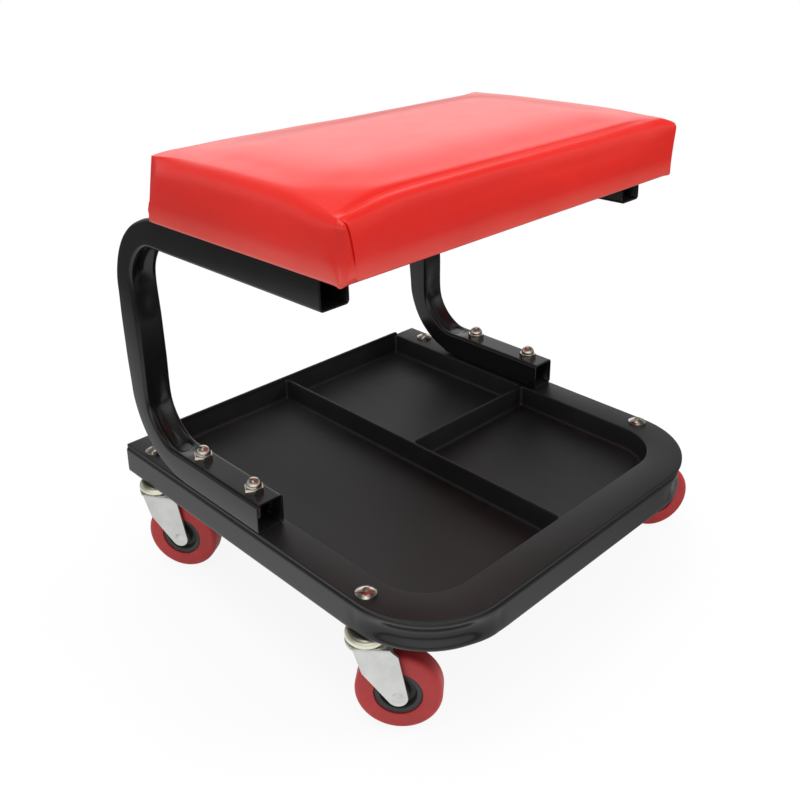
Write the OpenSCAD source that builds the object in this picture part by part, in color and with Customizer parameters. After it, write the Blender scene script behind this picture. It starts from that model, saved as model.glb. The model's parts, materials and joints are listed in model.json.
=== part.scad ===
/* [Base frame] */
// Width of the base frame over its side rails
frame_w = 360; // [320:5:420]
// Depth of the base frame from its open back to its front rail
frame_d = 370; // [340:5:430]
// Side of the square tube that all the frames are bent from
tube_side = 25; // [22:0.5:28]
// Wall of the square tube
tube_wall = 1.5; // [1.2:0.1:2]
// Outer corner radius of the tube's section
tube_round = 3; // [2.5:0.25:4]
// Centreline radius of the two front bends
base_bend_r = 57.5; // [50:0.5:65]
// Depth of the crease that bending leaves in a tube's inner wall
bend_crease = 3; // [1:0.25:4]
// Depth to which bending sinks the middle of a tube's outer wall
bend_flat = 3; // [0.5:0.25:4]
// Distance by which bending draws in the corners of the section
bend_pull = 2; // [0:0.25:3]

/* [Tray] */
// Thickness of the flange that lies on the rails
flange_t = 3; // [2:0.5:4]
// Step from the rail's outer face in to the flange's edge
flange_step = 0.8; // [0.4:0.2:2]
// Width of the flange along the front rail
front_flange_w = 31; // [29:1:40]
// Depth of the compartments below the flange
tray_depth = 20; // [14:1:22]
// Thickness of the pan's walls and dividers at their top
tray_wall = 2.5; // [2:0.1:3]
// Thickness of the pan's floor
floor_t = 2.5; // [2:0.1:3]
// Draft of the moulded walls, as a step from top to floor
draft = 0.8; // [0.4:0.1:1.2]
// Fillet between walls and floor
floor_fillet = 3; // [2:0.5:5]
// Radius of the front corners of the compartments
front_corner_r = 42; // [34:1:50]
// Radius of the other corners of the compartments
pocket_r = 3; // [2:0.5:5]
// Height of the back rim above the flange
rim_h = 3.5; // [2:0.5:6]
// Distance from the middle of the frame back to the cross divider
cross_divider_y = 8; // [-30:1:60]

/* [Side arms] */
// Distance from the front of the base to the lower arms' front ends
lower_arm_setback = 178; // [160:1:190]
// Straight length of a lower arm, up to its bend
lower_arm_l = 105; // [95:1:110]
// Centreline radius of the arm bends
arm_bend_r = 54.5; // [48:0.5:60]
// Backward lean of the posts, in degrees
post_lean = 2.9; // [0:0.1:5]
// Distance from the front of the base to the upper arms' front ends
upper_arm_setback = 96; // [80:1:110]
// Height of an upper arm's top at its front end
seat_z = 339.2; // [310:0.2:380]
// Upward tilt of the seat towards the front, in degrees
seat_tilt = 1.5; // [0:0.1:3]

/* [Seat] */
// Length of the seat across the machine
seat_l = 371; // [362:1:420]
// Width of the seat from front to back
seat_w = 221; // [200:1:225]
// Height of the upholstered sides
seat_h = 50; // [42:1:60]
// Rise of the crown above the top edges
crown_h = 4; // [2:0.5:8]
// Reach of the seat in front of the upper arms
seat_overhang = 27; // [18:1:35]
// Plan radius of the seat's corners at the board
seat_corner_r = 5; // [3:0.5:10]
// Distance by which the top edges are drawn in by the cover
side_pull = 6; // [4:0.5:10]
// Distance by which the sides are hollowed between the corners
side_bow = 2; // [0:0.25:3]
// Distance by which the cover pulls the top's corners down
corner_dip = 4; // [0:0.5:6]
// Thickness of the vinyl cover with its backing
cover_t = 1.2; // [0.8:0.1:2]
// Width of the border of cover that is turned in under the board
tuck_w = 14; // [10:1:15]
// Thickness of the plywood board
board_t = 12; // [10:1:15]
// Radius of the board's corners
board_corner_r = 10; // [5:0.5:15]

/* [Casters] */
// Diameter of a wheel
wheel_d = 63.5; // [58:0.5:66]
// Width of the tyre
wheel_w = 19; // [16:0.5:20]
// Diameter of the hub inside the tyre
hub_d = 35.4; // [30:0.2:40]
// Height from the floor to the underside of the rails
caster_h = 81; // [79:1:90]
// Horizontal distance from the swivel axis to the axle
caster_trail = 22.7; // [21:0.1:26]
// Direction in which the front left wheel trails at rest, in degrees from +X
front_left_heading = -50.5; // [-180:1:180]
// Direction in which the front right wheel trails at rest
front_right_heading = -30; // [-180:1:180]
// Direction in which the back left wheel trails at rest
back_left_heading = -59; // [-180:1:180]
// Direction in which the back right wheel trails at rest
back_right_heading = -45; // [-180:1:180]
// Distance from the front of the base to the front swivel axes
front_caster_inset = 70.7; // [68:0.1:85]
// Distance from the back of the base to the back swivel axes
back_caster_inset = 29.4; // [25:0.1:45]
// Distance from the sides of the base to the swivel axes
side_caster_inset = 11; // [9:0.1:13]
// Height of the raceway housing
housing_h = 6.4; // [6:0.1:7]
// Diameter of the raceway housing
housing_d = 32; // [31:0.5:35]
// Diameter of a bearing ball
ball_d = 4.6; // [4:0.1:5]
// Thickness of the fork's sheet
fork_t = 2; // [1.6:0.1:2.4]
// Width of the fork over its legs
fork_w = 26; // [25:0.2:29]
// Diameter of the fork's round crown
crown_d = 31.6; // [30:0.2:33]

/* [Fasteners] */
// Diameter of the bolts through rails, tray and lower arms
bolt_d = 8; // [6:1:8]
// Diameter of the bolts that hold the seat
seat_bolt_d = 6; // [5:1:6]
// Diameter of the low domed bolt heads, as a share of the thread's diameter
button_share = 1.95; // [1.8:0.05:2.2]
// Diameter of an axle
axle_d = 6; // [5:0.5:7]
// Distance from a lower arm's front end to its first bolt
arm_bolt_inset = 19.5; // [14:0.5:25]
// Distance between the two bolts of a lower arm
arm_bolt_pitch = 67.5; // [55:0.5:75]
// Distance from the front of an upper arm to its first seat bolt
seat_bolt_inset = 33; // [25:1:45]
// Distance between the two seat bolts of an arm
seat_bolt_pitch = 100; // [80:1:120]

/* [Hidden] */
$fn = 64;
// One overrun serves every cut
over = 1;
// Clearance of a bolt in its hole, of a running fit, and between pieces laid side by side
hole_fit = 0.2;
run_fit = 0.05;
lay_fit = 0.3;

deck_z = caster_h + tube_side + flange_t;
rail_x = (frame_w - tube_side) / 2;
front_y = -frame_d / 2;
back_y = frame_d / 2;

// Sweep of a bent tube: rings in each bend, and steps round each corner of the section
BEND_RINGS = 12;
CORNER_STEPS = 2;
// How far the middle of a creased wall's quarter points follow its middle
quarter_share = 0.5;

lower_front_y = front_y + lower_arm_setback;
upper_front_y = front_y + upper_arm_setback;
arm_bolt_y = [for (i = [0:1]) lower_front_y + arm_bolt_inset + i * arm_bolt_pitch];
seat_bolt_y = [for (i = [0:1]) seat_bolt_inset + i * seat_bolt_pitch];

// Pan of the tray
pan_gap = 0.5;
pocket_x = frame_w / 2 - tube_side - pan_gap - tray_wall;
pocket_front = front_y + front_flange_w;
pocket_back = back_y - tray_wall;
floor_z = deck_z - tray_depth;
deck_corner_r = base_bend_r + tube_side / 2 - flange_step;
POCKET_STEPS = 8;
fillet_share = 0.3;

// Bolt sets, as shares of the thread's diameter
across_flats_share = 1.63;
button_h_share = 0.52;
button_edge_share = 0.2;
socket_share = 0.62;
socket_deep_share = 0.36;
thin_nut_share = 0.5;
lock_nut_share = 0.95;
lock_hex_share = 0.7;
cap_flats_share = 1.76;
cap_height_share = 1.4;
cap_hex_share = 0.52;
dome_share = 1.55;
bolt_show = 0.5;
// Corners of a nut are turned off by this share of its height
chamfer_share = 0.16;

// Swivel head, from the rail down
housing_t = 1.8;
housing_round = 4;
housing_lip = 1.6;
ball_count = 12;
ball_fit = 0.1;
race_deep = 0.6;
head_gap = 2;
crown_z = caster_h - housing_h - head_gap;
ball_ring_r = housing_d / 2 - housing_t - ball_fit - ball_d / 2;
ball_z = crown_z - race_deep + ball_fit + ball_d / 2;
pin_wall = 1.8;
kingpin_d = bolt_d + 2 * hole_fit + 2 * pin_wall;
kingpin_flange_w = 2.5;
kingpin_flange_t = 1.4;
kingpin_z = crown_z - fork_t - run_fit - kingpin_flange_t;
caster_nut_z = kingpin_z - bolt_d * thin_nut_share;

// Fork: its bend, the eye round the axle, and the corners of a leg as steps from swivel axis and crown
fork_round = 2.4;
fork_eye_r = 7.4;
leg_back_low = 2.4;
leg_back_drop = 21.5;
leg_front_top = 17;
leg_front_low = 23.4;
leg_front_drop = 5.5;

// Wheel
wheel_r = wheel_d / 2;
shoulder_r = 2;
SHOULDER_STEPS = 5;
side_dish = 0.6;
hub_step = 1;
hub_rim_t = 4.5;
hub_web_t = 7;
hub_boss_wall = 3;
sleeve_wall = 2;
sleeve_d = axle_d + 2 * sleeve_wall;
sleeve_l = fork_w - 2 * fork_t;
axle_head_share = 1.5;
axle_head_h = 1.5;

// Seat
tee_flange_w = 6.5;
tee_flange_t = 1.2;
tee_barrel_wall = 1;
tee_barrel_l = 9;
staple_w = 10;
staple_t = 0.7;
staple_leg = 7;
staple_edge = 3.5;
end_staples = 6;
side_staples = 4;
board_gap = 0.3;
cover_round = 0.6;
board_low = cover_t;
foam_low = board_low + board_t;
// Rings up the foam's side: shares of its height and of the drawn-in distance, and turn of the surface
SIDE_SHARES = [
    [0.3, 0.05, 0], [0.55, 0.11, 0], [0.78, 0.22, 0.12],
    [0.9, 0.43, 0.4], [0.97, 0.7, 0.7], [1, 1, 0.95]
];
// Rings of the crown, as shares of half the seat's width
CROWN_SHARES = [0.17, 0.38, 0.64, 0.9];
SEAT_SIDE_STEPS = 6;
SEAT_CORNER_STEPS = 4;
crown_end_power = 4;
crown_side_power = 2;
dip_power = 6;

// Corners of the base, front left first
CORNERS = ["front_left", "front_right", "back_left", "back_right"];
caster_x = frame_w / 2 - side_caster_inset;
front_caster_y = front_y + front_caster_inset;
back_caster_y = back_y - back_caster_inset;
corner_at = [
    [-caster_x, front_caster_y], [caster_x, front_caster_y],
    [-caster_x, back_caster_y], [caster_x, back_caster_y]
];
headings = [front_left_heading, front_right_heading, back_left_heading, back_right_heading];
CASTER_PIECES = ["housing", "kingpin", "balls", "fork", "axle", "axle_nut", "sleeve", "hub", "tyre"];

// Colours
paint = [0.13, 0.13, 0.14];
mould = [0.16, 0.17, 0.18];
vinyl = [0.88, 0.13, 0.11];
zinc = [0.8, 0.81, 0.8];
yellow_zinc = [0.78, 0.76, 0.6];
nickel = [0.78, 0.74, 0.68];
tread_red = [0.7, 0.15, 0.17];
hub_grey = [0.2, 0.21, 0.2];

function mid(a, b, t) = a + (b - a) * t;
function on_circle(r, angle) = r * [cos(angle), sin(angle)];

// Points of an arc, both ends included
function arc(centre, r, from, to, steps) =
    [for (i = [0:steps]) centre + on_circle(r, mid(from, to, i / steps))];

// Where a line from a point touches a circle, on the side that is given
function tangent_point(p, centre, r, side) =
    let (away = p - centre)
    centre + on_circle(r, atan2(away.y, away.x) + side * acos(r / norm(away)));

// Radius of the sphere whose cap has a given base radius and height
function cap_sphere_r(r, h) = (r * r + h * h) / (2 * h);

// Rectangle with its own radius at each corner: front left, front right, back right, back left
function round_rect(lo, hi, radii, steps) = concat(
    arc([lo.x + radii[0], lo.y + radii[0]], radii[0], 180, 270, steps),
    arc([hi.x - radii[1], lo.y + radii[1]], radii[1], 270, 360, steps),
    arc([hi.x - radii[2], hi.y - radii[2]], radii[2], 0, 90, steps),
    arc([lo.x + radii[3], hi.y - radii[3]], radii[3], 90, 180, steps));

// Three points along a wall at height b, the middle one sunk furthest
function wall_points(half, b, sink, way) =
    [for (t = [-1, 0, 1])
        [way * t * half / 2, b - sign(b) * sink * (1 - abs(t) * quarter_share)]];

// Section of the tube: x across the bend's plane, y away from the bend's centre.
// Shares of the bending sink both walls and draw their corners in.
function tube_section(half, r, share) =
    let (q = half - r, pull = bend_pull * share, n = CORNER_STEPS,
         crease = bend_crease * share, flat = bend_flat * share)
    concat(
        arc([q, q - pull], r, 0, 90, n), wall_points(2 * q, half - pull, flat, -1),
        arc([-q, q - pull], r, 90, 180, n),
        arc([-q, pull - q], r, 180, 270, n), wall_points(2 * q, pull - half, crease, 1),
        arc([q, pull - q], r, 270, 360, n));

// A ring is [centre, direction out of the bend, direction across it, share of the bending]
function ring_points(ring, half, r) =
    [for (p = tube_section(half, r, ring[3])) ring[0] + p.x * ring[2] + p.y * ring[1]];

// Rings of a bend about a centre, from one angle to another
function bend_rings(centre, r, from, to, place) =
    [for (i = [0:BEND_RINGS - 1])
        let (t = i / (BEND_RINGS - 1), angle = mid(from, to, t))
        concat(place(centre + on_circle(r, angle), angle), [pow(sin(180 * t), 2)])];

// Joins closed loops of equal length into triangles, loop after loop
function band(loops, count, flip) =
    [for (k = [0:loops - 2], i = [0:count - 1])
        let (j = (i + 1) % count, a = k * count + i, b = k * count + j, c = b + count, d = a + count)
        each flip ? [[a, b, c], [a, c, d]] : [[c, b, a], [d, c, a]]];

// Numbers of the same triangles in a list that starts later
function later(faces, start) = [for (f = faces) f + [1, 1, 1] * start];

// Flat ring between two loops of one end
function end_ring(outer, inner, count, flip) =
    [for (i = [0:count - 1])
        let (j = (i + 1) % count)
        each flip ? [[outer + j, outer + i, inner + i], [outer + j, inner + i, inner + j]]
                  : [[outer + i, outer + j, inner + j], [outer + i, inner + j, inner + i]]];

// Triangles from a loop up to one point
function fan(loop, count, tip, flip) =
    [for (i = [0:count - 1])
        let (j = (i + 1) % count)
        flip ? [tip, loop + i, loop + j] : [tip, loop + j, loop + i]];

module swept_tube(rings) {
    half = tube_side / 2;
    skin = [for (ring = rings) each ring_points(ring, half, tube_round)];
    bore = [for (ring = rings) each ring_points(ring, half - tube_wall, tube_round - tube_wall)];
    count = len(skin) / len(rings);
    last = len(skin) - count;
    polyhedron(concat(skin, bore), concat(
        band(len(rings), count, false),
        later(band(len(rings), count, true), len(skin)),
        end_ring(0, len(skin), count, false),
        end_ring(last, len(skin) + last, count, true)));
}

// Round bar or bore along Z
module rod(d, from, to) {
    translate([0, 0, from]) cylinder(d = d, h = to - from);
}

module at_arm_bolts() {
    for (side = [-1, 1], y = arm_bolt_y) translate([side * rail_x, y, 0]) children();
}

module at_corners() {
    for (at = corner_at) translate([at.x, at.y, 0]) children();
}

module base_frame() {
    flat_ring = function (p, angle)
        [[p.x, p.y, caster_h + tube_side / 2], [cos(angle), sin(angle), 0], [0, 0, 1]];
    bend_x = rail_x - base_bend_r;
    bend_y = front_y + tube_side / 2 + base_bend_r;
    rings = concat(
        [concat(flat_ring([-rail_x, back_y], 180), [0])],
        bend_rings([-bend_x, bend_y], base_bend_r, 180, 270, flat_ring),
        bend_rings([bend_x, bend_y], base_bend_r, 270, 360, flat_ring),
        [concat(flat_ring([rail_x, back_y], 360), [0])]);
    color(paint) difference() {
        swept_tube(rings);
        at_arm_bolts() rod(bolt_d + 2 * hole_fit, caster_h - over, deck_z);
        at_corners() rod(bolt_d + 2 * hole_fit, caster_h - over, deck_z);
    }
}

// Side view of an arm, y towards the back and z up: the post runs from bend to bend
low_centre = [lower_front_y + lower_arm_l, deck_z + tube_side / 2 + arm_bend_r];
post_dir = [sin(post_lean), cos(post_lean)];
seat_up = [sin(seat_tilt), cos(seat_tilt)];
upper_front = [upper_front_y, seat_z] - seat_up * tube_side / 2;
post_run = ((upper_front - low_centre) * seat_up - arm_bend_r) / (post_dir * seat_up);
high_centre = low_centre + post_run * post_dir;

// Stands at the front of the upper arms' tops, tilted as the seat is
module in_seat_frame() {
    translate([0, upper_front_y, seat_z]) rotate([-seat_tilt, 0, 0]) children();
}

module at_seat_bolts() {
    for (side = [-1, 1], y = seat_bolt_y) translate([side * rail_x, y, 0]) children();
}

module side_arm(side) {
    upright_ring = function (p, angle)
        [[side * rail_x, p.x, p.y], [0, cos(angle), sin(angle)], [1, 0, 0]];
    rings = concat(
        [concat(upright_ring([lower_front_y, deck_z + tube_side / 2], -90), [0])],
        bend_rings(low_centre, arm_bend_r, -90, -post_lean, upright_ring),
        bend_rings(high_centre, arm_bend_r, -post_lean, 90 - seat_tilt, upright_ring),
        [concat(upright_ring(upper_front, 90 - seat_tilt), [0])]);
    color(paint) difference() {
        swept_tube(rings);
        at_arm_bolts() rod(bolt_d + 2 * hole_fit, deck_z - over, deck_z + tube_side + over);
        in_seat_frame() at_seat_bolts()
            rod(seat_bolt_d + 2 * hole_fit, -tube_side - over, over);
    }
}

// Outline of the flange, with its two large front corners
module deck_outline() {
    half = frame_w / 2 - flange_step;
    front = front_y + flange_step;
    r = deck_corner_r;
    translate([-half, front + r]) square([2 * half, back_y - front - r]);
    translate([r - half, front]) square([2 * (half - r), r + over]);
    for (side = [-1, 1]) translate([side * (half - r), front + r]) circle(r);
}

// Hollow of a compartment, or body of the pan: walls lean in by the draft and end in a fillet
module pocket(lo, hi, radii, top, bottom) {
    for (i = [0, 1]) assert(hi[i] - lo[i] > 2 * (draft + floor_fillet));
    // Each level is [height, step in from the top outline, thickness of the slice]
    levels = [
        [top, 0, over],
        [bottom + floor_fillet, draft, run_fit],
        [bottom + floor_fillet * fillet_share, draft + floor_fillet * fillet_share, run_fit],
        [bottom, draft + floor_fillet, run_fit]
    ];
    hull() for (level = levels)
        translate([0, 0, level[0]]) linear_extrude(level[2])
            polygon(round_rect(lo + [1, 1] * level[1], hi - [1, 1] * level[1],
                [for (r = radii) max(r - level[1], run_fit)], POCKET_STEPS));
}

// Back rim, rounded down to the flange at both ends
module rim_outline() {
    half = pocket_x + tray_wall;
    translate([-half, 0]) square([2 * half, flange_t]);
    translate([rim_h - half, 0]) square([2 * (half - rim_h), flange_t + rim_h]);
    for (side = [-1, 1]) translate([side * (half - rim_h), flange_t]) circle(rim_h);
}

module tray() {
    outer_x = pocket_x + tray_wall;
    front_r = front_corner_r;
    r = pocket_r;
    divider = tray_wall / 2;
    color(mould) difference() {
        union() {
            translate([0, 0, deck_z - flange_t]) linear_extrude(flange_t) deck_outline();
            pocket([-outer_x, pocket_front - tray_wall], [outer_x, back_y],
                [front_r + tray_wall, front_r + tray_wall, r, r], deck_z - flange_t, floor_z - floor_t);
            translate([0, back_y, deck_z - flange_t]) rotate([90, 0, 0])
                linear_extrude(tray_wall) rim_outline();
        }
        pocket([-pocket_x, pocket_front], [-divider, pocket_back], [front_r, r, r, r], deck_z, floor_z);
        pocket([divider, pocket_front], [pocket_x, cross_divider_y - divider],
            [r, front_r, r, r], deck_z, floor_z);
        pocket([divider, cross_divider_y + divider], [pocket_x, pocket_back], [r, r, r, r], deck_z, floor_z);
        at_arm_bolts() rod(bolt_d + 2 * hole_fit, deck_z - flange_t - over, deck_z + over);
        at_corners() rod(bolt_d + 2 * hole_fit, deck_z - flange_t - over, deck_z + over);
    }
}

// Outline of the seat, stepped in, with its sides hollowed by a bow between the corners
function seat_outline(step, bow) =
    let (half = [seat_l, seat_w] / 2 - [1, 1] * step, r = max(seat_corner_r - step, cover_t),
         c = half - [1, 1] * r, n = SEAT_SIDE_STEPS)
    [for (k = [0:3])
        let (a = 90 * k - 90, near = on_circle(1, a + 45), far = on_circle(1, a + 135),
             from = [sign(near.x) * c.x, sign(near.y) * c.y],
             to = [sign(far.x) * c.x, sign(far.y) * c.y])
        each concat(
            arc(from, r, a, a + 90, SEAT_CORNER_STEPS),
            [for (i = [1:n - 1])
                mid(from, to, i / n) + on_circle(r - bow * sin(180 * i / n), a + 90)])];

// Height of the crown over the top edges, and how far the corners are pulled down
function seat_shares(p) = [abs(p.x) * 2 / seat_l, abs(p.y) * 2 / seat_w];
function crown_at(p) =
    let (s = seat_shares(p))
    crown_h * (1 - pow(s.x, crown_end_power)) * (1 - pow(s.y, crown_side_power));
function dip_at(p) = corner_dip * pow(seat_shares(p).x * seat_shares(p).y, dip_power);

// Loops of the seat from the board's top edge over the side to the crown, inside the skin by a thickness
function foam_loops(thin) =
    let (rise = seat_h - foam_low)
    concat(
        [for (s = SIDE_SHARES)
            [for (p = seat_outline(side_pull * s[1] + thin * cos(90 * s[2]), side_bow * sin(180 * s[0])))
                [p.x, p.y, foam_low + rise * s[0] - thin * sin(90 * s[2]) - dip_at(p) * s[0]]]],
        [for (s = CROWN_SHARES)
            [for (p = seat_outline(side_pull + thin + s * (seat_w / 2 - side_pull - thin), 0))
                [p.x, p.y, seat_h + crown_at(p) - thin - dip_at(p)]]]);

function flat_loop(step, z) = [for (p = seat_outline(step, 0)) [p.x, p.y, z]];

module on_seat() {
    in_seat_frame() translate([0, seat_w / 2 - seat_overhang, 0]) children();
}

module seat_foam() {
    thin = cover_t + board_gap;
    loops = concat([flat_loop(thin, foam_low)], foam_loops(thin));
    count = len(loops[0]);
    total = count * len(loops);
    color("khaki") on_seat() polyhedron(
        concat([for (loop = loops) each loop], [[0, 0, foam_low], [0, 0, seat_h + crown_h - thin]]),
        concat(band(len(loops), count, false), fan(0, count, total, true),
            fan(total - count, count, total + 1, false)));
}

// One skin: up the outside from the tuck to the crown, and down the inside round foam and board
module seat_cover() {
    skin = concat(
        [flat_loop(tuck_w, 0), flat_loop(cover_round, 0), flat_loop(0, 2 * cover_t), flat_loop(0, foam_low)],
        foam_loops(0));
    lining = concat(
        [flat_loop(tuck_w, cover_t), flat_loop(cover_t + cover_round / 2, cover_t),
         flat_loop(cover_t, 2 * cover_t), flat_loop(cover_t, foam_low)],
        foam_loops(cover_t));
    count = len(skin[0]);
    total = count * len(skin);
    tip = [0, 0, seat_h + crown_h];
    points = concat([for (loop = skin) each loop], [tip],
        [for (loop = lining) each loop], [tip - [0, 0, cover_t]]);
    color(vinyl) on_seat() polyhedron(points, concat(
        band(len(skin), count, false), fan(total - count, count, total, false),
        later(band(len(lining), count, true), total + 1),
        fan(2 * total + 1 - count, count, 2 * total + 1, true),
        end_ring(0, total + 1, count, false)));
}

module seat_board() {
    step = cover_t + board_gap;
    half = [seat_l, seat_w] / 2 - [1, 1] * step;
    r = board_corner_r;
    color("burlywood") on_seat() difference() {
        translate([0, 0, board_low]) linear_extrude(board_t) {
            square(2 * half - [2 * r, 0], center = true);
            square(2 * half - [0, 2 * r], center = true);
            for (x = [-1, 1], y = [-1, 1]) translate([x * (half.x - r), y * (half.y - r)]) circle(r);
        }
        translate([0, seat_overhang - seat_w / 2, 0]) at_seat_bolts() {
            rod(seat_bolt_d + 2 * tee_barrel_wall + 2 * run_fit, 0, foam_low + over);
            rod(seat_bolt_d + 2 * tee_flange_w + 2 * hole_fit, foam_low - tee_flange_t, foam_low + over);
        }
    }
}

module staple() {
    h = staple_leg + staple_t;
    translate([-staple_w / 2, -staple_t / 2, -staple_t]) {
        cube([staple_w, staple_t, staple_t]);
        for (x = [0, staple_w - staple_t]) translate([x, 0, 0]) cube([staple_t, staple_t, h]);
    }
}

module cover_staples() {
    end_x = rail_x - tube_side - staple_w;
    end_y = seat_w / 2 - tuck_w / 2;
    side_x = seat_l / 2 - staple_edge;
    side_y = end_y - staple_w;
    color(zinc) on_seat() {
        for (i = [0:end_staples], y = [-end_y, end_y])
            translate([mid(-end_x, end_x, i / end_staples), y, 0]) staple();
        for (i = [0:side_staples], x = [-side_x, side_x])
            translate([x, mid(-side_y, side_y, i / side_staples), 0]) rotate(90) staple();
    }
}

// Low domed head over a plain rim, with a hexagon socket, standing on z = 0
module button_head(d) {
    r = d * button_share / 2;
    h = d * button_h_share;
    edge = d * button_edge_share;
    ball_r = cap_sphere_r(r, h - edge);
    difference() {
        intersection() {
            cylinder(r = r, h = h);
            translate([0, 0, h - ball_r]) sphere(ball_r);
        }
        translate([0, 0, h - d * socket_deep_share])
            cylinder(d = d * socket_share / cos(30), h = h, $fn = 6);
    }
}

module hex_prism(flats, h) {
    cylinder(d = flats / cos(30), h = h, $fn = 6);
}

// Shape that turns off the corners of a hexagon at both of its ends
module nut_turning(flats, h) {
    cut = h * chamfer_share;
    out = flats / cos(30) / 2;
    rotate_extrude() polygon([[0, 0], [out - cut, 0], [out, cut], [out, h - cut], [out - cut, h], [0, h]]);
}

// Domed cap nut: turned hexagon and ball end over a blind thread
module cap_nut(d) {
    hex_h = d * cap_hex_share;
    dome_r = d * dome_share / 2;
    flats = d * cap_flats_share;
    top = d * cap_height_share;
    difference() {
        union() {
            intersection() {
                hex_prism(flats, hex_h);
                nut_turning(flats, hex_h);
            }
            rod(2 * dome_r, 0, top - dome_r);
            translate([0, 0, top - dome_r]) sphere(dome_r);
        }
        rod(d + 2 * run_fit, -top, d + run_fit);
    }
}

module arm_bolts() {
    color(zinc) at_arm_bolts() {
        translate([0, 0, caster_h]) mirror([0, 0, 1]) button_head(bolt_d);
        rod(bolt_d, caster_h - run_fit, deck_z + tube_side + bolt_d);
    }
}

module cap_nuts() {
    color(nickel) at_arm_bolts() translate([0, 0, deck_z + tube_side]) cap_nut(bolt_d);
}

module caster_bolts() {
    color(nickel) at_corners() {
        translate([0, 0, deck_z]) button_head(bolt_d);
        rod(bolt_d, caster_nut_z - bolt_show, deck_z + run_fit);
    }
}

module caster_nuts() {
    h = bolt_d * thin_nut_share;
    flats = bolt_d * across_flats_share;
    color(zinc) at_corners() translate([0, 0, caster_nut_z]) difference() {
        intersection() {
            hex_prism(flats, h);
            nut_turning(flats, h);
        }
        rod(bolt_d + 2 * run_fit, -over, h + over);
    }
}

module seat_bolts() {
    color(zinc) in_seat_frame() at_seat_bolts() {
        translate([0, 0, -tube_side]) mirror([0, 0, 1]) button_head(seat_bolt_d);
        rod(seat_bolt_d, -tube_side - run_fit, foam_low - tee_flange_t);
    }
}

module tee_nuts() {
    flange_z = foam_low - tee_flange_t;
    color(zinc) in_seat_frame() at_seat_bolts() difference() {
        union() {
            rod(seat_bolt_d + 2 * tee_barrel_wall, flange_z - tee_barrel_l, flange_z);
            rod(seat_bolt_d + 2 * tee_flange_w, flange_z, foam_low);
        }
        rod(seat_bolt_d + 2 * run_fit, 0, foam_low + over);
    }
}

// Pressed cup with a raceway round the kingpin. It and all that follow are drawn about one swivel
// axis, with the wheel trailing along +X.
module housing() {
    r = housing_d / 2;
    color(yellow_zinc) difference() {
        translate([0, 0, caster_h - housing_h]) rotate_extrude() {
            translate([0, housing_lip]) square([r, housing_h - housing_round - housing_lip]);
            square([r - housing_lip, housing_lip]);
            translate([r - housing_lip, housing_lip]) circle(housing_lip);
            translate([0, housing_h - housing_round]) square([r - housing_round, housing_round]);
            translate([r - housing_round, housing_h - housing_round]) circle(housing_round);
        }
        rod(kingpin_d + 2 * run_fit, 0, caster_h + over);
        difference() {
            rod(2 * (r - housing_t), 0, ball_z + ball_d / 2 + ball_fit);
            rod(2 * (ball_ring_r - ball_d / 2 - ball_fit), 0, caster_h);
        }
    }
}

module kingpin() {
    color(zinc) difference() {
        union() {
            rod(kingpin_d, kingpin_z, caster_h);
            rod(kingpin_d + 2 * kingpin_flange_w, kingpin_z, kingpin_z + kingpin_flange_t);
        }
        rod(bolt_d + 2 * hole_fit, 0, caster_h + over);
    }
}

module balls() {
    color("silver") for (i = [0:ball_count - 1])
        rotate(360 * i / ball_count) translate([ball_ring_r, 0, ball_z]) sphere(d = ball_d);
}

// Side of a leg, x along the trail and y up
module leg_outline() {
    axle = [caster_trail, wheel_r];
    leg_back_top = sqrt(pow(crown_d / 2, 2) - pow(fork_w / 2, 2));
    back_low = [-leg_back_low, crown_z - leg_back_drop];
    front_low = [leg_front_low, crown_z - leg_front_drop];
    polygon([
        [-leg_back_top, crown_z], back_low,
        tangent_point(back_low, axle, fork_eye_r, 1), axle,
        tangent_point(front_low, axle, fork_eye_r, -1),
        front_low, [leg_front_top, crown_z]
    ]);
    translate(axle) circle(fork_eye_r);
}

// Pressed channel seen along the trail, open below
module channel_outline(half, r, low, top) {
    translate([-half, low]) square([2 * half, top - low - r]);
    translate([r - half, low]) square([2 * (half - r), top - low]);
    for (side = [-1, 1]) translate([side * (half - r), top - r]) circle(r);
}

module fork() {
    half = fork_w / 2;
    low = wheel_r - fork_eye_r - over;
    color(zinc) difference() {
        intersection() {
            translate([-crown_d, 0, 0]) rotate([90, 0, 90]) linear_extrude(3 * crown_d) difference() {
                channel_outline(half, fork_round, low, crown_z);
                channel_outline(half - fork_t, fork_round - fork_t, low - over, crown_z - fork_t);
            }
            union() {
                translate([0, half + over, 0]) rotate([90, 0, 0]) linear_extrude(fork_w + 2 * over)
                    leg_outline();
                rod(crown_d, crown_z - fork_t, crown_z);
            }
        }
        rod(kingpin_d + 2 * run_fit, 0, caster_h);
        rotate_extrude() translate([ball_ring_r, ball_z]) circle(ball_d / 2 + ball_fit);
        translate([caster_trail, half + over, wheel_r]) rotate([90, 0, 0])
            rod(axle_d + 2 * run_fit, 0, fork_w + 2 * over);
    }
}

// Puts a piece drawn along +Z onto the axle, with +Z towards the head's side
module on_axle() {
    translate([caster_trail, 0, wheel_r]) rotate([90, 0, 0]) children();
}

module axle() {
    head_r = axle_d * axle_head_share / 2;
    ball_r = cap_sphere_r(head_r, axle_head_h);
    color(zinc) on_axle() {
        rod(axle_d, -fork_w / 2 - axle_d * lock_nut_share - bolt_show, fork_w / 2 + run_fit);
        intersection() {
            rod(2 * head_r, fork_w / 2, fork_w / 2 + axle_head_h);
            translate([0, 0, fork_w / 2 + axle_head_h - ball_r]) sphere(ball_r);
        }
    }
}

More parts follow.
